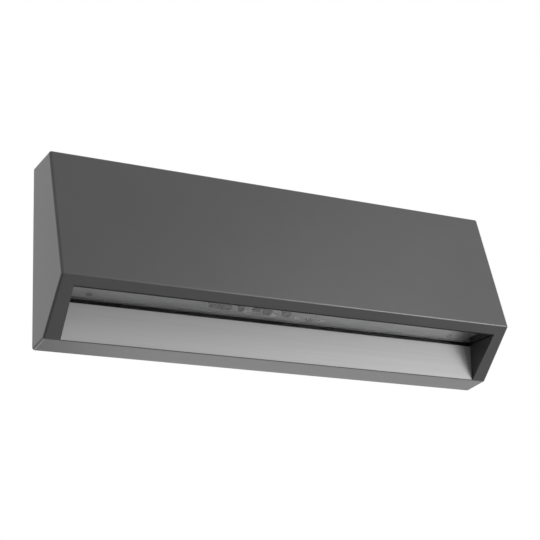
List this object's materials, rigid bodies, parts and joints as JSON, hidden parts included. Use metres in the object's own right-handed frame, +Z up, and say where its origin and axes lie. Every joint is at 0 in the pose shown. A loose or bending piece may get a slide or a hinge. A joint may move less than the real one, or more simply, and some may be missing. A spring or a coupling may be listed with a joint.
{
  "type": "outdoor wall light",
  "caption": "Wedge-shaped outdoor wall light: cast housing with a triangular notch under its lip, a glass-covered LED board in the notch ceiling, a light metal reflector and a wall bracket.",
  "frame": {"origin": "on the wall plane, at the middle of the two wall slots of the bracket, in line with the cable entry", "axes": "+X along the light to the right as seen from the room, +Y into the wall, +Z up"},
  "size_m": [0.3, 0.0478, 0.111],
  "materials": {
    "housing_paint": "fine satin powder coat",
    "brushed_sheet": "brushed",
    "plain_aluminium": "satin",
    "clear_glass": "polished",
    "silicone": "matte",
    "zinc_steel": "bright zinc",
    "stainless": "satin",
    "galvanised_steel": "galvanised",
    "black_steel": "black oxide",
    "board_mask": "semi-gloss",
    "led_body": "matte",
    "phosphor": "matte",
    "resistor_body": "matte",
    "black_resin": "matte",
    "ferrite": "matte",
    "tinned_metal": "tinned",
    "blue_resin": "gloss",
    "capacitor_body": "matte",
    "black_rubber": "matte",
    "brown_insulation": "matte",
    "blue_insulation": "matte",
    "green_insulation": "matte",
    "white_nylon": "matte",
    "plain_brass": "plain",
    "grey_foam": "closed-cell foam"
  },
  "bodies": {
    "root": {"housing": "housing_paint", "reflector_panel": "brushed_sheet", "panel_nuts": "zinc_steel", "cover_glass": "clear_glass", "glass_seal": "silicone", "heat_sink": "plain_aluminium", "heat_sink_screws": "zinc_steel", "led_board": "board_mask", "board_screws": "black_steel", "led_packages": "led_body", "led_phosphors": "phosphor", "dropper_resistors": "resistor_body", "fuse_resistor": "resistor_body", "driver_chip": "black_resin", "choke": "ferrite", "bridge_rectifier": "black_resin", "chip_leads": "tinned_metal", "surge_absorber": "blue_resin", "chip_capacitors": "capacitor_body", "lead_grommet": "black_rubber", "live_lead": "brown_insulation", "neutral_lead": "blue_insulation", "earth_lead": "green_insulation", "earth_terminal": "tinned_metal", "earth_washer": "zinc_steel", "earth_screw": "zinc_steel", "terminal_block": "white_nylon", "terminal_clamps": "plain_brass", "terminal_screws": "zinc_steel", "terminal_fixing_screws": "zinc_steel", "wall_bracket": "galvanised_steel", "cable_grommet": "black_rubber", "wall_seal": "grey_foam", "housing_screws": "stainless"}
  },
  "joints": []
}
